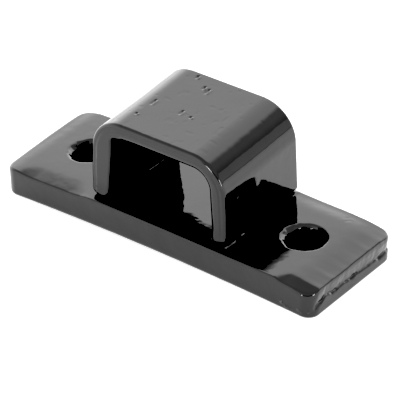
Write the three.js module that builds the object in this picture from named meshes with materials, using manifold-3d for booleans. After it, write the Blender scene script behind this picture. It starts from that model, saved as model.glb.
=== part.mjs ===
// Receiver bridge (staple keep) of a door bolt: a flat steel bar with two screw
// holes and an inverted-U strap that the bolt slides through.
// Millimetres, +Z up. The plate lies on the XY plane with its long side along X,
// and the bolt passes through the strap along Y.
import * as THREE from 'three';
import { mergeVertices } from 'three/addons/utils/BufferGeometryUtils.js';
import Module from 'manifold-3d';

// Driving dimensions of the plate.
const PLATE_LENGTH = 72;
const PLATE_WIDTH = 25;
const PLATE_THICKNESS = 5.9;
const PLATE_CORNER_RADIUS = 2;
const PLATE_EDGE_ROUND = 0.5;

// Two plain punched screw holes, on the strap's centre line.
const HOLE_DIAMETER = 7.5;
const HOLE_SPACING = 50;
const CENTRE_LINE_Y = 0.7;

// Driving dimensions of the strap.
const STRAP_WIDTH = 30.6;
const STRAP_DEPTH = 21.8;
const STRAP_TOP_Z = 24.3;
const STRAP_THICKNESS = 3.4;
const STRAP_EDGE_ROUND = 0.4;
const LEFT_BEND_RADIUS = 7.1;
const RIGHT_BEND_RADIUS = 7.2;
const LEFT_INNER_BEND_RADIUS = 1.2;
const RIGHT_INNER_BEND_RADIUS = 3.6;
const FOOT_CORNER_RADIUS = 1.1;

// Each leg ends in a tenon through a slot, welded into a pocket in the plate's back.
const TENON_THICKNESS = 2.6;
const TENON_DEPTH = 15;
const TENON_CORNER_RADIUS = 0.6;
const TENON_ROOT = 1.5;
const POCKET_DEPTH = 1.5;
const POCKET_MARGIN = 1.1;
const WELD_INSET = 0.2;
const FIT_GAP = 0.3;

// Half the number of flats in each rounded corner.
const CORNER_STEPS = 3;
const CUT_OVERRUN = 1;

const steelPaint = { color: 0x0b0b0c, roughness: 0.16, metalness: 0.0 };
const weldPaint = { color: 0x121213, roughness: 0.34, metalness: 0.0 };

const legCentreX = (STRAP_WIDTH - STRAP_THICKNESS) / 2;

const wasm = await Module();
wasm.setup();

function toSolid(geometry) {
  const bare = geometry.clone();
  bare.deleteAttribute('normal');
  bare.deleteAttribute('uv');
  const merged = mergeVertices(bare, 1e-5);
  const vertProperties = new Float32Array(merged.attributes.position.array);
  const triVerts = new Uint32Array(merged.index.array);
  return new wasm.Manifold(new wasm.Mesh({ numProp: 3, vertProperties, triVerts }));
}

function toGeometry(solid) {
  const mesh = solid.getMesh();
  const geometry = new THREE.BufferGeometry();
  geometry.setAttribute('position', new THREE.BufferAttribute(new Float32Array(mesh.vertProperties), 3));
  geometry.setIndex(new THREE.BufferAttribute(new Uint32Array(mesh.triVerts), 1));
  geometry.computeVertexNormals();
  return geometry;
}

// A rectangle centred on (x, y) with rounded corners.
function roundedRectangle(x, y, width, depth, radius) {
  const right = x + width / 2;
  const left = x - width / 2;
  const far = y + depth / 2;
  const near = y - depth / 2;
  const shape = new THREE.Shape();
  shape.moveTo(right, near + radius);
  shape.lineTo(right, far - radius);
  shape.absarc(right - radius, far - radius, radius, 0, Math.PI / 2, false);
  shape.lineTo(left + radius, far);
  shape.absarc(left + radius, far - radius, radius, Math.PI / 2, Math.PI, false);
  shape.lineTo(left, near + radius);
  shape.absarc(left + radius, near + radius, radius, Math.PI, 1.5 * Math.PI, false);
  shape.lineTo(right - radius, near);
  shape.absarc(right - radius, near + radius, radius, 1.5 * Math.PI, 2 * Math.PI, false);
  return shape;
}

// A prism along Z from bottom to top, its end edges rounded by edge.
function prism(shape, bottom, top, edge = 0) {
  const geometry = new THREE.ExtrudeGeometry(shape, {
    depth: top - bottom - 2 * edge,
    curveSegments: CORNER_STEPS,
    bevelEnabled: edge > 0,
    bevelThickness: edge,
    bevelSize: edge,
    bevelOffset: -edge,
    bevelSegments: 2,
  });
  geometry.translate(0, 0, bottom + edge);
  return geometry;
}

// The slot that a tenon passes through, as a cutting solid.
function tenonSlot(x) {
  const width = TENON_THICKNESS + 2 * FIT_GAP;
  const depth = TENON_DEPTH + 2 * FIT_GAP;
  const outline = roundedRectangle(x, CENTRE_LINE_Y, width, depth, TENON_CORNER_RADIUS);
  return toSolid(prism(outline, -CUT_OVERRUN, PLATE_THICKNESS + CUT_OVERRUN));
}

// The pocket around the slot in the back of the plate, grown by growth on each side.
function pocketOutline(x, growth) {
  const width = TENON_THICKNESS + 2 * (FIT_GAP + POCKET_MARGIN + growth);
  const depth = TENON_DEPTH + 2 * (FIT_GAP + POCKET_MARGIN + growth);
  return roundedRectangle(x, CENTRE_LINE_Y, width, depth, TENON_CORNER_RADIUS + POCKET_MARGIN + growth);
}

// A screw hole's outline at x, in four quarter arcs so that it gets enough flats.
function roundHole(x) {
  const hole = new THREE.Path();
  for (let quarter = 4; quarter > 0; quarter -= 1) {
    const start = quarter * Math.PI / 2;
    hole.absarc(x, CENTRE_LINE_Y, HOLE_DIAMETER / 2, start, start - Math.PI / 2, true);
  }
  return hole;
}

function buildBasePlate() {
  const outline = roundedRectangle(0, 0, PLATE_LENGTH, PLATE_WIDTH, PLATE_CORNER_RADIUS);
  for (const side of [-1, 1]) {
    outline.holes.push(roundHole(side * HOLE_SPACING / 2));
  }
  let plate = toSolid(prism(outline, 0, PLATE_THICKNESS, PLATE_EDGE_ROUND));
  for (const x of [-legCentreX, legCentreX]) {
    const pocket = toSolid(prism(pocketOutline(x, 0), -CUT_OVERRUN, POCKET_DEPTH));
    plate = plate.subtract(tenonSlot(x)).subtract(pocket);
  }
  return toGeometry(plate);
}

// The strap's front outline: two legs with rounded feet under a bent top. The hot bends
// thinned the bar, so the inner radii aren't the outer ones less the thickness.
function strapOutline() {
  const outer = STRAP_WIDTH / 2;
  const inner = outer - STRAP_THICKNESS;
  const foot = PLATE_THICKNESS + FIT_GAP;
  const ceiling = STRAP_TOP_Z - STRAP_THICKNESS;
  const toe = FOOT_CORNER_RADIUS;
  const shape = new THREE.Shape();
  shape.moveTo(outer, foot + toe);
  shape.lineTo(outer, STRAP_TOP_Z - RIGHT_BEND_RADIUS);
  shape.absarc(outer - RIGHT_BEND_RADIUS, STRAP_TOP_Z - RIGHT_BEND_RADIUS,
    RIGHT_BEND_RADIUS, 0, Math.PI / 2, false);
  shape.lineTo(-outer + LEFT_BEND_RADIUS, STRAP_TOP_Z);
  shape.absarc(-outer + LEFT_BEND_RADIUS, STRAP_TOP_Z - LEFT_BEND_RADIUS,
    LEFT_BEND_RADIUS, Math.PI / 2, Math.PI, false);
  shape.lineTo(-outer, foot + toe);
  shape.absarc(-outer + toe, foot + toe, toe, Math.PI, 1.5 * Math.PI, false);
  shape.lineTo(-inner - toe, foot);
  shape.absarc(-inner - toe, foot + toe, toe, 1.5 * Math.PI, 2 * Math.PI, false);
  shape.lineTo(-inner, ceiling - LEFT_INNER_BEND_RADIUS);
  shape.absarc(-inner + LEFT_INNER_BEND_RADIUS, ceiling - LEFT_INNER_BEND_RADIUS,
    LEFT_INNER_BEND_RADIUS, Math.PI, Math.PI / 2, true);
  shape.lineTo(inner - RIGHT_INNER_BEND_RADIUS, ceiling);
  shape.absarc(inner - RIGHT_INNER_BEND_RADIUS, ceiling - RIGHT_INNER_BEND_RADIUS,
    RIGHT_INNER_BEND_RADIUS, Math.PI / 2, 0, true);
  shape.lineTo(inner, foot + toe);
  shape.absarc(inner + toe, foot + toe, toe, Math.PI, 1.5 * Math.PI, false);
  shape.lineTo(outer - toe, foot);
  shape.absarc(outer - toe, foot + toe, toe, 1.5 * Math.PI, 2 * Math.PI, false);
  return shape;
}

function buildBridgeStrap() {
  const bent = prism(strapOutline(), -STRAP_DEPTH / 2, STRAP_DEPTH / 2, STRAP_EDGE_ROUND);
  bent.rotateX(Math.PI / 2);
  bent.translate(0, CENTRE_LINE_Y, 0);
  let strap = toSolid(bent);
  for (const x of [-legCentreX, legCentreX]) {
    const outline = roundedRectangle(x, CENTRE_LINE_Y, TENON_THICKNESS, TENON_DEPTH, TENON_CORNER_RADIUS);
    const root = PLATE_THICKNESS + FIT_GAP + TENON_ROOT;
    strap = strap.add(toSolid(prism(outline, POCKET_DEPTH + FIT_GAP, root)));
  }
  return toGeometry(strap);
}

// The weld that fills the pocket and holds the tenon's end.
function buildTenonWeld(x) {
  return prism(pocketOutline(x, -FIT_GAP), WELD_INSET, POCKET_DEPTH);
}

function namedMesh(name, geometry, look) {
  const mesh = new THREE.Mesh(geometry, new THREE.MeshStandardMaterial(look));
  mesh.name = name;
  return mesh;
}

const receiver = new THREE.Group();
receiver.add(namedMesh('base_plate', buildBasePlate(), steelPaint));
receiver.add(namedMesh('bridge_strap', buildBridgeStrap(), steelPaint));
receiver.add(namedMesh('left_tenon_weld', buildTenonWeld(-legCentreX), weldPaint));
receiver.add(namedMesh('right_tenon_weld', buildTenonWeld(legCentreX), weldPaint));

export default receiver;
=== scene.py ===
"""Looks of a gloss-black receiver bridge for a door bolt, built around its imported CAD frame.

Every piece is a closed surface grown from a distance field in millimetres: the field is
below zero inside the steel. The fields carry the real shape, such as the plate's arch, the
cropped end's break, the punched holes, the paint beads at the feet and the strap's nicks.
"""
import math

import bpy
import numpy as np
from mathutils import Matrix, Vector


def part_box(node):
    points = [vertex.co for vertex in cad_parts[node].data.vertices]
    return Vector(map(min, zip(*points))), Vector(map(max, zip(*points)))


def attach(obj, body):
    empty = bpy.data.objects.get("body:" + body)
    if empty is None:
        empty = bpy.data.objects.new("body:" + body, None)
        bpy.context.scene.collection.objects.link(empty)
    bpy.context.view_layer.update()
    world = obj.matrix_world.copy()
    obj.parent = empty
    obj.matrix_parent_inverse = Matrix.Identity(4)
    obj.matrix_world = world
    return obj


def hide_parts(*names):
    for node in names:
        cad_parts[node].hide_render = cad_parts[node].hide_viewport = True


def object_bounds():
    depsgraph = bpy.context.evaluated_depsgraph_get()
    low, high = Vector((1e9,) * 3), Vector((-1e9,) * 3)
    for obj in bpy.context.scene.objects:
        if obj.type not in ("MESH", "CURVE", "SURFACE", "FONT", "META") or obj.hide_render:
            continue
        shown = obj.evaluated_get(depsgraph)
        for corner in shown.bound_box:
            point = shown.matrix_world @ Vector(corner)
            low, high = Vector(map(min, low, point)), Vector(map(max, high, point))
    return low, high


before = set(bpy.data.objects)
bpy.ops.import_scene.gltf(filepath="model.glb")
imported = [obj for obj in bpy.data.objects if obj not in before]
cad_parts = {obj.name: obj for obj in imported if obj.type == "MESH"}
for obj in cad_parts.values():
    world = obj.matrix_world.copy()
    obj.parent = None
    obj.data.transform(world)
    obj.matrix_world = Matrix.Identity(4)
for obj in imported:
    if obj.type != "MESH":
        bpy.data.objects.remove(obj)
cad_low, cad_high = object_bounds()

MM = 0.001

# Grid steps in millimetres. The fine ones keep each piece under 100,000 quads.
PLATE_STEP = 0.24
STRAP_STEP = 0.20


def box_mm(node):
    low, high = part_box(node)
    return np.array(low) / MM, np.array(high) / MM


PLATE_LOW, PLATE_HIGH = box_mm("base_plate")
STRAP_LOW, STRAP_HIGH = box_mm("bridge_strap")
WELD_BOXES = {node: box_mm(node) for node in ("left_tenon_weld", "right_tenon_weld")}

# Plate, in millimetres. Its two ends aren't quite square to the bar.
HALF_LENGTH = PLATE_HIGH[0]
HALF_WIDTH = PLATE_HIGH[1]
THICKNESS = PLATE_HIGH[2]
CORNER_RADIUS = 2.5
ARCH = 0.95
LEFT_SKEW = 0.5
RIGHT_SKEW = 0.15
LEFT_BULGE = 0.25
LOWER_EDGE = 0.7
FRONT_EDGE = 0.20
LEFT_EDGE_EXTRA = 0.5
RIGHT_EDGE_EXTRA = 0.5
BACK_EDGE_EXTRA = 0.15

# The plate's top. A wedge is a strip of the front edge that slopes down.
LEFT_WEDGE = 4.2
LEFT_WEDGE_SLOPE = 0.115
LEFT_WEDGE_SOFTNESS = 0.60
RIGHT_WEDGE = 2.9
RIGHT_WEDGE_SLOPE = 0.17
RIGHT_WEDGE_SOFTNESS = 0.20
LEFT_END_FALL = 0.18
RIGHT_END_FALL = 0.50
RIGHT_END_RIPPLE = 0.06
RIGHT_END_LIFT = 0.33
BACK_FALL = 0.05
BACK_FALL_EXTRA = 0.42
BLEMISH_PLACE = (28.0, 9.8)
BLEMISH_DEPTH = 0.05
DISH_DEPTH = 0.07
STREAK_DEPTH = 0.004

# The groove on the cropped end, where the shear gave way, and the burnished steel above it.
BREAK_HEIGHT = 2.75
BREAK_FRONT_DROP = 1.3
BREAK_BACK_DROP = 0.7
BREAK_WIDTH = 0.10
BREAK_WIDTH_EXTRA = 0.18
BREAK_DEPTH = 0.32
BREAK_DEPTH_RANGE = 0.22
BURNISH_SLOPE = 0.16
BURNISH_HEIGHT = 2.3
BURNISH_STEP = 0.05

# Punched holes: a steep lip, widest towards LIP_WAY, then a ragged break.
HOLE_X = 25.1
HOLE_RADIUS = 3.62
LIP = 0.50
LIP_EXTRA = 0.38
LIP_DEPTH = 0.80
LIP_WAY = (-0.775, -0.632)
LIP_CHATTER = 0.3
CONE_CHATTER = 0.6
HOLE_EDGE = 0.14
HOLE_EDGE_DEPTH = 0.22
HOLE_BREAK = 0.26
HOLE_BREAK_RANGE = 0.22

# Strap, in millimetres. It leans forwards a little, and its left leg splays and thickens upwards.
STRAP_SHIFT = 0.2
STRAP_CENTRE = np.array([STRAP_SHIFT, (STRAP_LOW[1] + STRAP_HIGH[1]) / 2])
STRAP_HALF_WIDTH = (STRAP_HIGH[0] - STRAP_LOW[0]) / 2
STRAP_HALF_DEPTH = (STRAP_HIGH[1] - STRAP_LOW[1]) / 2
BACK_GROWTH = 0.4
STRAP_TOP = 24.65
STRAP_TURN = math.radians(0.5)
STRAP_LEAN = 0.03
TOP_FALL = 0.016
LEFT_FOOT_X = -15.85
LEFT_TOP_X = -15.15
RIGHT_X = 15.15
OPENING_FOOT_X = -11.9
OPENING_TOP_X = -10.45
RIGHT_LEG = 3.4
BRIDGE = 3.25
CORNER_GAIN = 0.2
TOP_SAG = 0.12
LEFT_LEG_TAPER = 1.3
LEG_BOTTOM_RADIUS = 0.5
OUTLINE_HALF_HEIGHT = 20.0

# The strap's bends and edges. Round the outside of its front face a narrow rim lies lower.
LEFT_BEND = 7.1
RIGHT_BEND = 7.2
LEFT_INNER_BEND = 1.2
RIGHT_INNER_BEND = 3.6
OUTER_EDGE = 0.68
INNER_EDGE = 0.35
BACK_EDGE = 0.4
RIM_WIDTH = 1.25
RIM_SOFTNESS = 0.15
RIM_DROP = 0.11

# The strap's feet: just off the plate, with rounded toes, and flared forwards.
FOOT_GAP = 0.06
TOE = 1.0
LEFT_TOE_EXTRA = 0.5
FLARE_HEIGHT = 2.4
FLARE_SLOPE = 0.22
FLARE_SOFTNESS = 0.4

# The bevel round the opening's front: the way it faces, into the opening and forwards, how far
# it cuts in, how much less on the left leg and at the back, and how soft its borders are.
BEVEL_WAY = (0.45, 0.89)
BEVEL_CUT = 0.31
BEVEL_LEFT_LESS = 0.5
BEVEL_BACK_LESS = 2.0
BEVEL_SOFTNESS = 0.06

# The hidden joint below each leg, and the ripples across its weld, in radians per millimetre.
LEG_CENTRE = STRAP_HALF_WIDTH - RIGHT_LEG / 2
TENON_HALF = np.array([1.3, 7.5])
TENON_CORNER = 0.6
TENON_LOW = 1.8
TENON_ROOT = 2.0
SLOT_GAP = 0.3
SLOT_OVERRUN = 0.2
POCKET_DEPTH = 1.5
POCKET_MARGIN = 1.4
POCKET_CORNER = 1.7
WELD_CORNER = 1.5
WELD_EDGE = 0.25
WELD_INSET = 0.12
WELD_RIPPLE = 0.06
WELD_ROUGHNESS = 0.05
RIPPLE_RATE = 4.5
RIPPLE_CURVE = 0.25

# Nicks in the strap's top: across, along and half length. Each has a lip beside it.
NICKS = ((-7.9, -1.1, 0.9), (-1.5, -1.1, 0.7), (-1.6, 6.8, 0.8), (-2.8, 7.4, 0.5),
         (-6.0, 9.6, 0.5), (-8.2, -5.7, 0.3), (0.9, -1.5, 0.3))
NICK_WIDTH = 0.24
NICK_DEPTH = 0.17
NICK_LIP = 0.4
NICK_LIP_PLACE = 1.9

# A faint raised ring, a scuffed spot and scattered specks on the strap's top.
RING_PLACE = (-1.1, -3.4)
RING_RADIUS = 1.5
RING_WIDTH = 0.2
RING_HEIGHT = 0.006
SCUFF_PLACE = (4.4, 3.4)
SCUFF_DEPTH = 0.015
SPECK_DEPTH = 0.02

# A sag in the paint on the strap's right face: its place and spread, along and upwards.
SAG_PLACE = (-1.8, 13.8)
SAG_SPREAD = (1.2, 1.6)
SAG_DEPTH = 0.15

# Paint drops: place and radius, and the hollow arc where each meets the surface.
STRAP_DROPS = ((11.9, -10.2, 21.1, 0.22), (11.1, -10.2, 21.3, 0.14), (2.5, -9.9, 21.4, 0.22),
               (-11.65, -9.5, 8.0, 0.16), (-11.6, -9.6, 8.9, 0.13), (-11.3, -9.6, 13.0, 0.15))
PLATE_DROPS = ((29.4, -12.5, 1.6, 0.22), (30.3, -12.5, 1.1, 0.20), (31.0, -12.5, 1.0, 0.16),
               (33.1, -12.5, 1.6, 0.20), (33.8, -12.4, 1.4, 0.22), (35.0, -12.0, 1.6, 0.20),
               (14.0, -10.9, 5.95, 0.18), (14.8, -10.95, 5.95, 0.20), (15.5, -10.6, 5.95, 0.20))
DROP_FILLET = 0.12

# The paint bead round the feet: it starts at BEAD_INNER_X and reaches further to the front.
# A puddle lies at the right foot's front, and the bead is thin at BEAD_GAP_V and on the left.
BEAD_GROWTH = 0.02
BEAD_PUDDLE = 0.26
BEAD_PUDDLE_PLACE = (14.6, -9.6)
BEAD_PUDDLE_AREA = 5.0
BEAD_GAP = 0.3
BEAD_GAP_V = -3.3
BEAD_GAP_REACH = 2.0
BEAD_LEFT_LESS = 0.4
BEAD_HEIGHT = 0.13
BEAD_EDGE = 0.12
BEAD_FILLET = 0.2
BEAD_INNER_X = 11.8
BEAD_OFFSET = 0.2

# The noise's hash: three large odd factors, a step between seeds, and a mask of 32 bits. The
# origin, in cells, keeps every cell's number above zero.
HASH_FACTORS = (374761393, 668265263, 1274126177)
SEED_STEP = 362437
HASH_BITS = 0xFFFFFFFF
NOISE_ORIGIN = 64.0


# --- Distance fields -------------------------------------------------------------------

def smooth(low, high, value):
    """A soft step from 0 at low to 1 at high, whichever of the two is larger."""
    t = np.clip((value - low) / (high - low), 0.0, 1.0)
    return t * t * (3.0 - 2.0 * t)


def filleted_max(a, b, radius):
    """Where both solids are: their shared edge is an arc of this radius."""
    a, b = a + radius, b + radius
    outside = np.hypot(np.maximum(a, 0), np.maximum(b, 0))
    return np.minimum(np.maximum(a, b), 0) + outside - radius


def filleted_min(a, b, radius):
    """Either solid, with a hollow arc of this radius between them."""
    return -filleted_max(-a, -b, radius)


def rounded_rectangle(x, y, half_x, half_y, radius):
    return filleted_max(np.abs(x) - half_x, np.abs(y) - half_y, radius)


def lattice(i, j, k, seed):
    """A repeatable number from -1 to 1 for each grid corner."""
    first, second, third = HASH_FACTORS
    h = (i * first + j * second + k * third + seed * SEED_STEP) & HASH_BITS
    h = ((h ^ (h >> 13)) * third) & HASH_BITS
    return (h ^ (h >> 16)) / (HASH_BITS >> 1) - 1.0


def noise(x, y, z, size, seed):
    """Smooth value noise from -1 to 1, in lumps of this size. Each use has a seed of its own."""
    cells, parts = [], []
    for value in (x, y, z):
        scaled = value / size + NOISE_ORIGIN
        cell = np.floor(scaled).astype(np.int64)
        t = scaled - cell
        cells.append(cell)
        parts.append(t * t * (3.0 - 2.0 * t))
    total = 0.0
    for corner in range(8):
        weight = 1.0
        place = []
        for axis in range(3):
            up = corner >> axis & 1
            weight = weight * (parts[axis] if up else 1.0 - parts[axis])
            place.append(cells[axis] + up)
        total = total + weight * lattice(*place, seed)
    return total


def arch(x):
    """How far the bowed plate stands off its flat back here."""
    return ARCH * (1.0 - (x / HALF_LENGTH) ** 2)


def slope_down(distance, width, angle, softness):
    """How far a surface that starts to tilt this far from an edge has come down."""
    reach = (width - distance) / softness
    return angle * softness * np.logaddexp(0.0, reach)


def plate_top(x, y):
    """Height of the plate's top above its underside: the cropping and the paint roll it off."""
    front = HALF_WIDTH + y
    back = HALF_WIDTH - y
    right = HALF_LENGTH - x
    left = HALF_LENGTH + x
    left_wedge = LEFT_WEDGE * smooth(0.5, 8.0, left) * smooth(24.0, 16.0, left)
    left_slope = slope_down(front, left_wedge, LEFT_WEDGE_SLOPE, LEFT_WEDGE_SOFTNESS)
    fall = left_slope * smooth(0.5, 3.0, left_wedge)
    right_wedge = RIGHT_WEDGE * smooth(9.0, 6.0, right)
    right_slope = slope_down(front, right_wedge, RIGHT_WEDGE_SLOPE, RIGHT_WEDGE_SOFTNESS)
    fall = fall + right_slope * smooth(0.2, 1.5, right_wedge)
    right_end = RIGHT_END_FALL + RIGHT_END_RIPPLE * noise(y, 0 * y, 0 * y, 1.2, 16)
    fall = fall + right_end * smooth(6.5, 0.0, right) ** 1.2
    fall = fall - RIGHT_END_LIFT * smooth(24.0, 6.0, right)
    back_edge = BACK_FALL + BACK_FALL_EXTRA * smooth(5.0, 22.0, x)
    fall = fall + back_edge * smooth(5.5, 0.0, back) ** 1.5
    fall = fall + LEFT_END_FALL * smooth(4.0, 0.0, left) ** 1.5
    return THICKNESS - fall + blemish(x, y) - inner_dish(x, y)


def blemish(x, y):
    """A small rough patch of paint behind the right hole."""
    distance = np.hypot(x - BLEMISH_PLACE[0], y - BLEMISH_PLACE[1])
    return BLEMISH_DEPTH * noise(x, y, 0 * x, 0.7, 15) * smooth(1.3, 0.5, distance)


def inner_dish(x, y):
    """A shallow hollow under the strap, towards its right leg, with faint streaks in front."""
    inside = smooth(2.0, 6.0, x) * smooth(14.0, 12.0, x)
    hollow = DISH_DEPTH * smooth(-9.5, -3.5, y) * smooth(12.0, -3.5, y)
    streaks = STREAK_DEPTH * noise(0.25 * x, y, 0 * x, 0.45, 17)
    streaks = streaks * smooth(-10.0, -8.5, y) * smooth(-3.5, -5.0, y)
    return (hollow + streaks) * inside


def crop_break(y, z):
    """How far the cropped end is drawn in, round the ragged line where the shear gave way."""
    flat = 0 * y
    line = BREAK_HEIGHT + 0.35 * noise(y, flat, flat, 4.0, 3) + 0.20 * noise(y, flat, flat, 1.0, 4)
    line = line - BREAK_FRONT_DROP * smooth(-8.0, -11.8, y) - BREAK_BACK_DROP * smooth(4.0, 12.0, y)
    away = z - line
    width = BREAK_WIDTH + BREAK_WIDTH_EXTRA * smooth(-0.1, 0.7, noise(y, flat, flat, 1.7, 5))
    depth = BREAK_DEPTH + BREAK_DEPTH_RANGE * noise(y, z, flat, 0.8, 6)
    present = smooth(-11.6, -10.4, y) * smooth(12.2, 10.8, y)
    groove = np.exp(-(away / width) ** 2) * depth * present
    above = smooth(-0.1, 0.3, away) * present
    rough = above * (0.02 * noise(3.0 * y, z, flat, 1.5, 7) + 0.015 * noise(y, z, flat, 0.5, 8))
    drawn_in = BURNISH_SLOPE * np.clip(BURNISH_HEIGHT - away, 0.0, BURNISH_HEIGHT) - BURNISH_STEP
    return groove + rough + above * drawn_in


def hole(x, y, depth, side):
    """A punched hole: a steep lip that the punch drew down, then a break that opens out."""
    across = x - side * HOLE_X
    along_y = y - STRAP_CENTRE[1]
    distance = np.hypot(across, along_y)
    towards = (LIP_WAY[0] * across + LIP_WAY[1] * along_y) / HOLE_RADIUS
    lip = LIP + LIP_EXTRA * np.clip(towards, 0.0, 1.0)
    chatter = LIP_CHATTER * noise(x, y, 0 * x, 0.9, 11)
    cone = lip * (1.0 - np.clip((depth + CONE_CHATTER * chatter) / LIP_DEPTH, 0, 1))
    rounding = HOLE_EDGE * np.clip(1.0 - depth / HOLE_EDGE_DEPTH, 0, 1) ** 2
    ragged = smooth(0.0, 0.35, depth - LIP_DEPTH + chatter)
    rough = HOLE_BREAK + HOLE_BREAK_RANGE * noise(x, y, depth, 0.7, 12)
    return distance - HOLE_RADIUS - cone - rounding - ragged * rough


def strap_axes(x, y):
    """Across and along the strap, which sits a touch askew on the plate."""
    dx, dy = x - STRAP_CENTRE[0], y - STRAP_CENTRE[1]
    c, s = math.cos(STRAP_TURN), math.sin(STRAP_TURN)
    return c * dx + s * dy, c * dy - s * dx


def paint_bead(x, y, top):
    """The broken line of paint that pooled round each foot."""
    u, v = strap_axes(x, y)
    growth = BEAD_GROWTH + 0.20 * noise(x, y, 0 * x, 1.7, 22) + 0.12 * noise(x, y, 0 * x, 0.8, 23)
    puddle = (u - BEAD_PUDDLE_PLACE[0]) ** 2 + (v - BEAD_PUDDLE_PLACE[1]) ** 2
    growth = growth + BEAD_PUDDLE * np.exp(-puddle / BEAD_PUDDLE_AREA)
    growth = growth - BEAD_GAP * np.exp(-((v - BEAD_GAP_V) / BEAD_GAP_REACH) ** 2)
    growth = growth - BEAD_LEFT_LESS * smooth(0.0, -5.0, u) * smooth(-4.0, -8.0, v)
    outline = np.maximum(LEFT_FOOT_X - u, u - RIGHT_X)
    outline = np.maximum(outline, BEAD_INNER_X - np.abs(u))
    beyond = np.abs(v + BEAD_OFFSET) - STRAP_HALF_DEPTH - BEAD_OFFSET
    outline = np.hypot(np.maximum(outline, 0), np.maximum(beyond, 0)) - growth
    bead = filleted_max(outline, top - BEAD_HEIGHT, BEAD_EDGE)
    return np.maximum(bead, -1.0 - top)


def add_drops(solid, x, y, z, drops):
    for cx, cy, cz, radius in drops:
        distance = np.sqrt((x - cx) ** 2 + (y - cy) ** 2 + (z - cz) ** 2) - radius
        solid = filleted_min(solid, distance, DROP_FILLET)
    return solid


def plate_waviness(x, y, z):
    return (0.012 * noise(x, y, z, 3.4, 24) + 0.009 * noise(x, y, z, 1.3, 25)
            + 0.003 * noise(x, y, z, 0.6, 27))


def plate_field(x, y, z):
    z = z - arch(x)
    along = (x + HALF_LENGTH) / (2 * HALF_LENGTH)
    squared = x + y / HALF_WIDTH * (LEFT_SKEW * (1.0 - along) - RIGHT_SKEW * along)
    squared = squared + LEFT_BULGE * (1.0 - along) * (1.0 - (y / HALF_WIDTH) ** 2)
    side = rounded_rectangle(squared, y, HALF_LENGTH, HALF_WIDTH, CORNER_RADIUS)
    side = side + crop_break(y, z) * smooth(HALF_LENGTH - 2.4, HALF_LENGTH - 1.2, x)
    side = side + 0.02 * noise(x, y, z, 3.0, 21) + 0.007 * noise(x, y, z, 0.9, 26)
    top = z - plate_top(x, y) + plate_waviness(x, y, z)
    edge = FRONT_EDGE + LEFT_EDGE_EXTRA * smooth(-HALF_LENGTH + 4, -HALF_LENGTH + 1, x)
    edge = edge + RIGHT_EDGE_EXTRA * smooth(HALF_LENGTH - 5, HALF_LENGTH - 2, x) * smooth(-10, -12, y)
    edge = edge + BACK_EDGE_EXTRA * smooth(HALF_WIDTH - 4, HALF_WIDTH - 1, y)
    solid = filleted_max(side, top, edge)
    solid = filleted_max(solid, -z, LOWER_EDGE)
    solid = filleted_min(solid, paint_bead(x, y, top), BEAD_FILLET)
    for sign in (-1, 1):
        solid = np.maximum(solid, -hole(x, y, plate_top(x, y) - z, sign))
    solid = add_drops(solid, x, y, z, PLATE_DROPS)
    return np.maximum(solid, -tenon_seat(x, y, z))


def tenon_seat(x, y, z):
    """The slots through the plate and the weld pockets behind them."""
    across, along = np.abs(x) - LEG_CENTRE, y - STRAP_CENTRE[1]
    slot = rounded_rectangle(across, along, *(TENON_HALF + SLOT_GAP), TENON_CORNER)
    slot = np.maximum(slot, z - THICKNESS - SLOT_OVERRUN)
    pocket = rounded_rectangle(across, along, *(TENON_HALF + POCKET_MARGIN), POCKET_CORNER)
    return np.minimum(slot, np.maximum(pocket, z - POCKET_DEPTH))


def bend_outline(u, z, left, right, top, left_radius, right_radius):
    """A tall shape with two rounded upper corners, its bottom far below the plate."""
    pz = z - (top - OUTLINE_HALF_HEIGHT)
    upper_radius = np.where(u > 0, right_radius, left_radius)
    radius = np.where(pz > 0, upper_radius, LEG_BOTTOM_RADIUS)
    middle = (left + right) / 2
    return rounded_rectangle(u - middle, pz, (right - left) / 2, OUTLINE_HALF_HEIGHT, radius)


def strap_outside(u, v, z):
    """The bent strip's outer outline: its left leg splays, and its top dips and falls forwards."""
    left = LEFT_TOP_X + (LEFT_FOOT_X - LEFT_TOP_X) * smooth(20.0, 10.0, z)
    height = z + TOP_FALL * (STRAP_HALF_DEPTH - v) + TOP_SAG * (1.0 - (v / STRAP_HALF_DEPTH) ** 2)
    return bend_outline(u, height, left, RIGHT_X, STRAP_TOP, LEFT_BEND, RIGHT_BEND)


def strap_opening(u, z):
    """The opening's outline, as a solid. It is a little lower in its sharp upper left corner."""
    left = OPENING_FOOT_X + (OPENING_TOP_X - OPENING_FOOT_X) * smooth(6.0, 21.0, z)
    right = RIGHT_X - RIGHT_LEG
    z = z + CORNER_GAIN * smooth(-5.0, -10.0, u)
    return bend_outline(u, z, left, right, STRAP_TOP - BRIDGE, LEFT_INNER_BEND, RIGHT_INNER_BEND)


def strap_marks(u, v, z):
    """Nicks, a faint ring, a scuffed spot and specks on the strap's top, as depths."""
    depth = 0 * u
    for across, along_v, half in NICKS:
        side = (u - across) / NICK_WIDTH
        groove = np.exp(-side ** 2) - NICK_LIP * np.exp(-(side - NICK_LIP_PLACE) ** 2)
        depth = depth + NICK_DEPTH * groove * np.exp(-((v - along_v) / half) ** 4)
    ring = np.hypot(u - RING_PLACE[0], v - RING_PLACE[1]) - RING_RADIUS
    depth = depth - RING_HEIGHT * np.exp(-(ring / RING_WIDTH) ** 2)
    scuff = smooth(1.5, 0.4, np.hypot(u - SCUFF_PLACE[0], v - SCUFF_PLACE[1]))
    depth = depth + SCUFF_DEPTH * scuff * noise(u, v, 0 * u, 0.6, 33)
    depth = depth + SPECK_DEPTH * smooth(0.55, 0.85, noise(u, v, 0 * u, 1.1, 36))
    return depth * smooth(STRAP_TOP - 2.0, STRAP_TOP - 1.0, z)


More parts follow.
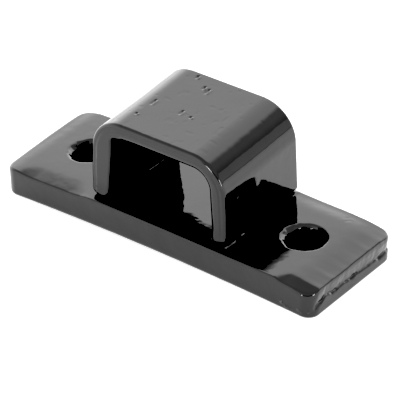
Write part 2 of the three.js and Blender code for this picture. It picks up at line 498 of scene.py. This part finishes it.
def strap_waviness(u, v, z):
    """Uneven paint: broad waves, a fine peel on the bend and one sag on the right face."""
    broad = 0.03 * noise(u, v, z, 7.0, 31) + 0.012 * noise(u, v, z, 3.1, 34)
    bend = smooth(7.5, 9.5, u) * smooth(12.0, 16.0, z)
    along_v = (v - SAG_PLACE[0]) / SAG_SPREAD[0]
    upwards = (z - SAG_PLACE[1]) / SAG_SPREAD[1]
    sag = SAG_DEPTH * np.exp(-along_v ** 2 - upwards ** 2) * smooth(12.0, 14.0, u)
    return broad + (0.003 + 0.003 * bend) * noise(u, v, z, 1.0, 35) - sag


def front_bevel(inside, front, u, v):
    """The bevel round the opening's front edge, slight on the left leg and none at the back."""
    bevel = BEVEL_WAY[0] * inside + BEVEL_WAY[1] * front + BEVEL_CUT
    bevel = bevel - BEVEL_LEFT_LESS * smooth(-8.0, -10.0, u)
    return bevel - BEVEL_BACK_LESS * smooth(-6.0, -2.0, v)


def leg_tenons(u, v, low, high):
    """Both legs' tenons. Low and high are how far a place is below and above them."""
    outline = rounded_rectangle(np.abs(u) - LEG_CENTRE, v, *TENON_HALF, TENON_CORNER)
    return np.maximum(outline, np.maximum(low, high))


def strap_field(x, y, z):
    u, v = strap_axes(x, y)
    foot = THICKNESS + arch(LEG_CENTRE) + FOOT_GAP
    tenons = leg_tenons(u, v, TENON_LOW + arch(x) - z, z - foot - TENON_ROOT)

    v, height = v + STRAP_LEAN * (z - foot), z - STRAP_LEAN * v
    outside = strap_outside(u, v, height) + strap_marks(u, v, height)
    inside = -strap_opening(u, height)
    toe = TOE + LEFT_TOE_EXTRA * smooth(0.0, -5.0, u)
    outline = filleted_max(np.maximum(outside, inside), foot - z, toe) + strap_waviness(u, v, z)
    edge = INNER_EDGE + (OUTER_EDGE - INNER_EDGE) * smooth(-0.8, 0.8, outside - inside)
    edge = np.where(v > 0, BACK_EDGE, edge)
    rim = RIM_DROP * smooth(-RIM_WIDTH - RIM_SOFTNESS, -RIM_WIDTH + RIM_SOFTNESS, outside)
    below = np.logaddexp(0.0, (foot + FLARE_HEIGHT - z) / FLARE_SOFTNESS)
    flare = FLARE_SLOPE * FLARE_SOFTNESS * below * smooth(0.0, -4.0, v)
    thick = np.abs(v - BACK_GROWTH / 2) - STRAP_HALF_DEPTH - BACK_GROWTH / 2
    taper = LEFT_LEG_TAPER * smooth(22.3, 20.5, z) * smooth(-8.0, -10.5, u) * smooth(0.0, 4.0, v)
    strap = filleted_max(outline, thick + rim - flare + taper, edge)
    bevel = front_bevel(inside, thick - flare, u, v)
    strap = BEVEL_SOFTNESS * np.logaddexp(strap / BEVEL_SOFTNESS, bevel / BEVEL_SOFTNESS)
    return np.minimum(add_drops(strap, x, y, z, STRAP_DROPS), tenons)


def weld_field(low, high):
    """A plug weld ground almost flush, with faint ripples left across it."""
    centre = (low + high) / 2
    half = (high - low) / 2

    def field(x, y, z):
        across = x - centre[0]
        outline = rounded_rectangle(across, y - centre[1], half[0], half[1], WELD_CORNER)
        ripple = WELD_RIPPLE * np.sin(RIPPLE_RATE * (y + RIPPLE_CURVE * across ** 2))
        ripple = ripple + WELD_ROUGHNESS * noise(x, y, z, 1.0, 41)
        z = z - arch(x)
        faces = np.maximum(low[2] + WELD_INSET + ripple - z, z - high[2])
        return filleted_max(outline, faces, WELD_EDGE)

    return field


# --- From a field to a mesh --------------------------------------------------------------

# The grid reaches this many cells below and above the box. It is worked out in full only in
# blocks of BLOCK cells whose middle is nearer to the surface than BLOCK_REACH blocks.
CELLS_BELOW = 3.5
CELLS_ABOVE = 4.5
BLOCK = 4
BLOCK_REACH = 1.3

# Each point is then moved onto the surface: rounds, the reach in millimetres over which the
# slope is measured, and the least squared slope that a move is divided by.
SETTLE_ROUNDS = 3
SLOPE_REACH = 0.02
LEAST_SLOPE = 0.3


def net_points(values, cells):
    """One point per grid cell that the surface crosses, at the mean of its edge crossings."""
    total = np.zeros(cells + (3,))
    count = np.zeros(cells)
    for axis in range(3):
        start = values[tuple(slice(0, -1) if i == axis else slice(None) for i in range(3))]
        end = values[tuple(slice(1, None) if i == axis else slice(None) for i in range(3))]
        crosses = (start < 0) != (end < 0)
        part = np.where(crosses, start / np.where(crosses, start - end, 1.0), 0.0)
        b, c = [i for i in range(3) if i != axis]
        for step_b in (0, 1):
            for step_c in (0, 1):
                cut = [slice(None)] * 3
                cut[b] = slice(step_b, step_b + cells[b])
                cut[c] = slice(step_c, step_c + cells[c])
                hit = crosses[tuple(cut)]
                count += hit
                total[..., axis] += part[tuple(cut)]
                total[..., b] += hit * step_b
                total[..., c] += hit * step_c
    used = np.nonzero(count)
    return used, np.stack(used, 1) + total[used] / count[used][:, None]


def net_quads(values, index):
    """One quad round each grid edge that the surface crosses, facing out of the solid."""
    quads = []
    for axis in range(3):
        b, c = (axis + 1) % 3, (axis + 2) % 3
        start = np.take(values, range(values.shape[axis] - 1), axis)
        end = np.take(values, range(1, values.shape[axis]), axis)
        place = np.stack(np.nonzero((start < 0) != (end < 0)), 1)
        corners = []
        for back_b, back_c in ((1, 1), (0, 1), (0, 0), (1, 0)):
            cell = place.copy()
            cell[:, b] -= back_b
            cell[:, c] -= back_c
            corners.append(index[tuple(cell.T)])
        quad = np.stack(corners, 1)
        outward = start[tuple(place.T)] < 0
        quads.append(np.where(outward[:, None], quad, quad[:, ::-1]))
    return np.concatenate(quads)


def settle(points, field, step):
    """Moves the points onto the surface along the field's slope."""
    for _ in range(SETTLE_ROUNDS):
        value = field(*points.T)
        slope = np.empty_like(points)
        for axis in range(3):
            shift = np.zeros(3)
            shift[axis] = SLOPE_REACH
            slope[:, axis] = (field(*(points + shift).T) - value) / SLOPE_REACH
        move = value / np.maximum((slope ** 2).sum(1), LEAST_SLOPE)
        points = points - slope * np.clip(move, -step, step)[:, None]
    return points


def sampled(field, axes, step):
    """The field on the grid, worked out in full only in the blocks that the surface may cross."""
    centres = [a[::BLOCK] + (BLOCK - 1) / 2 * step for a in axes]
    values = field(*np.meshgrid(*centres, indexing="ij"))
    for axis, places in enumerate(axes):
        values = np.repeat(values, BLOCK, axis).take(range(len(places)), axis)
    near = np.nonzero(np.abs(values) < BLOCK_REACH * BLOCK * step)
    values[near] = field(*[places[cells] for places, cells in zip(axes, near)])
    return values


def quad_mesh(name, points, quads):
    mesh = bpy.data.meshes.new(name)
    mesh.vertices.add(len(points))
    mesh.vertices.foreach_set("co", points.astype(np.float32).ravel())
    mesh.loops.add(quads.size)
    mesh.loops.foreach_set("vertex_index", quads.astype(np.int32).ravel())
    mesh.polygons.add(len(quads))
    mesh.polygons.foreach_set("loop_start", np.arange(0, quads.size, 4, dtype=np.int32))
    mesh.update(calc_edges=True)
    mesh.validate()
    mesh.shade_smooth()
    return mesh


def grow(name, field, low, high, step):
    """Makes the closed mesh of a field inside a box, in millimetres, and its object in metres."""
    axes = [np.arange(a - CELLS_BELOW * step, b + CELLS_ABOVE * step, step)
            for a, b in zip(low, high)]
    values = sampled(field, axes, step)
    cells = tuple(n - 1 for n in values.shape)
    used, places = net_points(values, cells)
    index = np.zeros(cells, np.int64)
    index[used] = np.arange(len(places))
    quads = net_quads(values, index)
    origin = np.array([a[0] for a in axes])
    points = settle(origin + places * step, field, step) * MM
    piece = bpy.data.objects.new(name, quad_mesh(name, points, quads))
    bpy.context.scene.collection.objects.link(piece)
    return piece


# --- Node helpers ------------------------------------------------------------------------

def along(tree, place, way):
    """How far the place lies this way: a distance, or -1 to 1 for a direction."""
    node = tree.nodes.new("ShaderNodeVectorMath")
    node.operation = "DOT_PRODUCT"
    node.inputs[1].default_value = way
    tree.links.new(place, node.inputs[0])
    return node.outputs["Value"]


def level(tree, source, start, end, first, last):
    """A soft step from first to last as the source goes from start to end."""
    node = tree.nodes.new("ShaderNodeMapRange")
    node.interpolation_type = "SMOOTHSTEP"
    tree.links.new(source, node.inputs["Value"])
    for name, value in (("From Min", start), ("From Max", end), ("To Min", first), ("To Max", last)):
        node.inputs[name].default_value = value
    return node.outputs["Result"]


def blended(tree, source, border, first, second):
    """From first to second across a border, a pair of source values. Each is a number or a socket."""
    share = level(tree, source, *border, 0.0, 1.0)
    node = tree.nodes.new("ShaderNodeMix")
    tree.links.new(share, node.inputs["Factor"])
    for name, value in (("A", first), ("B", second)):
        if isinstance(value, float):
            node.inputs[name].default_value = value
        else:
            tree.links.new(value, node.inputs[name])
    return node.outputs["Result"]


def calculated(tree, operation, *inputs):
    """The result of a math node. Each input is a number or a socket."""
    node = tree.nodes.new("ShaderNodeMath")
    node.operation = operation
    for place, value in zip(node.inputs, inputs):
        if isinstance(value, float):
            place.default_value = value
        else:
            tree.links.new(value, place)
    return node.outputs[0]


# --- Paint -------------------------------------------------------------------------------

# Lumps per metre and detail of the two noises, and the share of the noise that counts.
GLOSS_NOISE = (350.0, 3.0)
PEEL_NOISE = (900.0, 2.0)
NOISE_LOW = 0.3
NOISE_HIGH = 0.7
PAINT_DARK = (0.0008, 0.0008, 0.0009, 1)
PAINT_PALE = (0.0020, 0.0019, 0.0020, 1)
PAINT_STOPS = (0.35, 0.65)
PAINT_IOR = 1.52

# Roughness from and to, and the height of the orange peel in metres.
GLOSS = ((0.03, 0.07), 0.000002)
SATIN = ((0.16, 0.30), 0.00001)


def new_material(name):
    material = bpy.data.materials.new(name)
    material.use_nodes = True
    return material, material.node_tree, material.node_tree.nodes["Principled BSDF"]


def noise_node(tree, scale, detail):
    place = tree.nodes.new("ShaderNodeTexCoord")
    node = tree.nodes.new("ShaderNodeTexNoise")
    node.inputs["Scale"].default_value = scale
    node.inputs["Detail"].default_value = detail
    tree.links.new(place.outputs["Object"], node.inputs["Vector"])
    return node


def mapped(tree, source, low, high):
    node = tree.nodes.new("ShaderNodeMapRange")
    node.inputs["From Min"].default_value = NOISE_LOW
    node.inputs["From Max"].default_value = NOISE_HIGH
    node.inputs["To Min"].default_value = low
    node.inputs["To Max"].default_value = high
    tree.links.new(source, node.inputs["Value"])
    return node.outputs["Result"]


def mixed_colour(tree, source, first, second):
    ramp = tree.nodes.new("ShaderNodeValToRGB")
    for stop, position, colour in zip(ramp.color_ramp.elements, PAINT_STOPS, (first, second)):
        stop.position = position
        stop.color = colour
    tree.links.new(source, ramp.inputs["Fac"])
    return ramp.outputs["Color"]


def black_paint(name, roughness, peel):
    """Gloss-black paint: nearly no colour of its own, faint orange peel, uneven gloss."""
    material, tree, shader = new_material(name)
    broad = noise_node(tree, *GLOSS_NOISE)
    colour = mixed_colour(tree, broad.outputs["Fac"], PAINT_DARK, PAINT_PALE)
    tree.links.new(colour, shader.inputs["Base Color"])
    tree.links.new(mapped(tree, broad.outputs["Fac"], *roughness), shader.inputs["Roughness"])
    shader.inputs["IOR"].default_value = PAINT_IOR
    fine = noise_node(tree, *PEEL_NOISE)
    bump = tree.nodes.new("ShaderNodeBump")
    bump.inputs["Strength"].default_value = 1.0
    bump.inputs["Distance"].default_value = peel
    tree.links.new(fine.outputs["Fac"], bump.inputs["Height"])
    tree.links.new(bump.outputs["Normal"], shader.inputs["Normal"])
    return material


# --- Floor ---------------------------------------------------------------------------------

# The floor's glow is painted light that lightens the floor's shadows. It is weaker in front of the
# object than behind it, strongest far away from it, and cut to none under the object as painted
# shade.
# A border is in metres: along AHEAD_WAY, or outwards from the object's outline.
FLOOR_GLOW = (0.50, 0.79)
FAR_GLOW = 1.05
FLOOR_COLOUR = (0.86, 0.86, 0.86, 1)
FLOOR_ROUGHNESS = 0.9
FLOOR_SIZE = 6.0
FLOOR_CELLS = 4
AHEAD_WAY = (0.6, 0.8, 0)
AHEAD_BORDER = (-0.10, 0.06)
FAR_BORDER = (0.035, 0.08)
SHADE_UNDER_OBJECT_BORDER = (-0.003, -0.001)


def beyond_box(tree, place, half_sizes):
    """How far a place on the floor is outside the object's outline, in metres."""
    split = tree.nodes.new("ShaderNodeSeparateXYZ")
    tree.links.new(place, split.inputs["Vector"])
    outside = []
    for axis, half in zip("XY", half_sizes):
        size = calculated(tree, "ABSOLUTE", split.outputs[axis])
        outside.append(calculated(tree, "SUBTRACT", size, half))
    return calculated(tree, "MAXIMUM", *outside)


def floor_material(half_sizes):
    """White sweep whose glow is painted light, with the glow cut away under the object as painted
    shade.
    """
    material, tree, shader = new_material("white_sweep")
    shader.inputs["Base Color"].default_value = FLOOR_COLOUR
    shader.inputs["Roughness"].default_value = FLOOR_ROUGHNESS
    shader.inputs["Specular IOR Level"].default_value = 0.0
    place = tree.nodes.new("ShaderNodeTexCoord").outputs["Object"]
    beyond = beyond_box(tree, place, half_sizes)
    ahead = along(tree, place, AHEAD_WAY)
    glow = level(tree, ahead, *AHEAD_BORDER, *FLOOR_GLOW)
    glow = blended(tree, beyond, FAR_BORDER, glow, FAR_GLOW)
    # No glow inside the object's outline: this paints shade under the object.
    glow = blended(tree, beyond, SHADE_UNDER_OBJECT_BORDER, 0.0, glow)
    shader.inputs["Emission Color"].default_value = (1, 1, 1, 1)
    tree.links.new(glow, shader.inputs["Emission Strength"])
    return material


def add_floor():
    bpy.ops.mesh.primitive_grid_add(x_subdivisions=FLOOR_CELLS, y_subdivisions=FLOOR_CELLS,
                                    size=FLOOR_SIZE, location=(0, 0, 0))
    floor = bpy.context.active_object
    floor.name = "floor"
    floor.data.materials.append(floor_material(cad_high[:2]))


# --- Camera and lamps ----------------------------------------------------------------------

# The camera: the point it aims at, its angles in degrees and its distance in metres.
AIM = Vector((-0.57, 2.64, 3.60)) * MM
AZIMUTH = 39.18
ELEVATION = 33.78
ROLL = -2.08
DISTANCE = 0.4958
LENS_MM = 240.5
SENSOR_MM = 36.0
CLIP_START = 0.01
CLIP_END = 20.0

# The brightness that is shown as black.
BLACK_LEVEL = 0.03

# Lamps: name, azimuth, elevation, distance, width, height and radiance.
LAMPS = (("left_lamp", 0.0, 6.0, 1.2, 0.22, 0.30, 22.0),
         ("right_lamp", 66.0, 8.0, 1.2, 0.18, 0.40, 22.0))


def direction(azimuth, elevation):
    """Unit vector towards a compass angle, in degrees: 0 is -Y, 90 is +X."""
    a, e = math.radians(azimuth), math.radians(elevation)
    return Vector((math.sin(a) * math.cos(e), -math.cos(a) * math.cos(e), math.sin(e)))


def add_camera():
    back = direction(AZIMUTH, ELEVATION)
    turn, roll = math.radians(AZIMUTH), math.radians(ROLL)
    right = Vector((math.cos(turn), math.sin(turn), 0))
    up = back.cross(right)
    across = right * math.cos(roll) + up * math.sin(roll)
    upward = up * math.cos(roll) - right * math.sin(roll)
    data = bpy.data.cameras.new("camera")
    data.lens = LENS_MM
    data.sensor_width = SENSOR_MM
    data.clip_start = CLIP_START
    data.clip_end = CLIP_END
    camera = bpy.data.objects.new("camera", data)
    basis = Matrix((across, upward, back)).transposed()
    camera.matrix_world = Matrix.Translation(AIM + back * DISTANCE) @ basis.to_4x4()
    bpy.context.scene.collection.objects.link(camera)
    bpy.context.scene.camera = camera


def add_softbox(name, azimuth, elevation, distance, width, height, radiance):
    """A rectangular lamp aimed at the object, of this radiance over its face."""
    data = bpy.data.lights.new(name, "AREA")
    data.shape = "RECTANGLE"
    data.size = width
    data.size_y = height
    data.energy = radiance * math.pi * width * height
    lamp = bpy.data.objects.new(name, data)
    towards = direction(azimuth, elevation)
    lamp.location = towards * distance
    lamp.rotation_mode = "QUATERNION"
    lamp.rotation_quaternion = towards.to_track_quat("Z", "Y")
    lamp.visible_camera = False
    bpy.context.scene.collection.objects.link(lamp)


def develop_like_a_product_photo():
    """Plain display, with the darkest tones taken down to black."""
    view = bpy.context.scene.view_settings
    view.view_transform = "Standard"
    view.use_curve_mapping = True
    view.curve_mapping.black_level = (BLACK_LEVEL,) * 3
    view.curve_mapping.white_level = (1.0,) * 3
    view.curve_mapping.update()


# --- The room that the paint mirrors -------------------------------------------------------

# Strengths of the world. Four numbers are a soft step: the strength goes from the third to
# the fourth as the height, the sine of the elevation, goes from the first to the second.
WALL_FOOT = 3.3
WALL = (0.48, 0.60, 2.75, 3.0)
FRONT = (0.22, 0.86, 2.4, 1.2)
ROOM_FLOOR = (0.055, 0.07, 2.35, 1.0)
ROOM_MIDDLE = 1.5
ROOM_TOP = (0.42, 0.66, 0.82, 1.2)
BESIDE = (0.35, 0.6, 0.7, 1.3)

# Ways in which the world changes from one part to the next.
UP = (0, 0, 1)
OVER_WALL_WAY = (-0.35, -0.70, 0.62)
PAST_WALL_WAY = (0.951, -0.309, 0)
FRONT_WAY = (0.3, -0.954, 0)
BESIDE_WAY = (0.6, -0.8, 0)

# Borders between the parts, from where to where along their way.
WALL_FOOT_BORDER = (0.30, 0.46)
OVER_WALL_BORDER = (0.18, 0.33)
ROOM_MIDDLE_BORDER = (0.095, 0.11)
ROOM_TOP_BORDER = (0.415, 0.435)
PAST_WALL_BORDER = (-0.06, 0.12)
FRONT_BORDER = (0.2, 0.5)
BESIDE_BORDER = (0.55, 0.8)


def wall_strength(tree, place, height, front):
    """A white wall behind and to the left, which passes into the front over its top."""
    wall = blended(tree, height, WALL_FOOT_BORDER, WALL_FOOT, level(tree, height, *WALL))
    over_wall = along(tree, place, OVER_WALL_WAY)
    return blended(tree, over_wall, OVER_WALL_BORDER, wall, front)


def room_strength(tree, height):
    """The dimmer room to the right: a bright floor, a low band and a dim upper part."""
    room = level(tree, height, *ROOM_FLOOR)
    room = blended(tree, height, ROOM_MIDDLE_BORDER, room, ROOM_MIDDLE)
    return blended(tree, height, ROOM_TOP_BORDER, room, level(tree, height, *ROOM_TOP))


def add_world():
    """The wall, the room, the front, and a dim zone beside the front, to its right."""
    world = bpy.data.worlds.new("white_wall")
    world.use_nodes = True
    bpy.context.scene.world = world
    tree = world.node_tree
    place = tree.nodes.new("ShaderNodeTexCoord").outputs["Generated"]
    height = along(tree, place, UP)
    front = level(tree, height, *FRONT)
    wall = wall_strength(tree, place, height, front)
    room = room_strength(tree, height)
    past_wall = along(tree, place, PAST_WALL_WAY)
    light = blended(tree, past_wall, PAST_WALL_BORDER, wall, room)
    ahead = along(tree, place, FRONT_WAY)
    light = blended(tree, ahead, FRONT_BORDER, light, front)
    beside = along(tree, place, BESIDE_WAY)
    light = blended(tree, beside, BESIDE_BORDER, light, level(tree, height, *BESIDE))
    background = tree.nodes["Background"]
    background.inputs["Color"].default_value = (1, 1, 1, 1)
    tree.links.new(light, background.inputs["Strength"])


def add_stage():
    add_camera()
    add_world()
    for lamp in LAMPS:
        add_softbox(*lamp)
    add_floor()
    develop_like_a_product_photo()


# --- The object ----------------------------------------------------------------------------

def add_piece(name, node, field, low, high, step, material):
    piece = grow(name, field, low, high, step)
    piece.data.materials.append(material)
    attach(piece, "root")
    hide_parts(node)


def add_object():
    gloss = black_paint("black_gloss_paint", *GLOSS)
    satin = black_paint("painted_weld", *SATIN)
    rise = np.array([0, 0, ARCH])
    add_piece("fine_base_plate", "base_plate", plate_field, PLATE_LOW, PLATE_HIGH + rise,
              PLATE_STEP, gloss)
    add_piece("fine_bridge_strap", "bridge_strap", strap_field, STRAP_LOW, STRAP_HIGH + rise,
              STRAP_STEP, gloss)
    for node, (low, high) in WELD_BOXES.items():
        add_piece(f"fine_{node}", node, weld_field(low, high), low, high + rise,
                  PLATE_STEP, satin)


add_stage()
add_object()
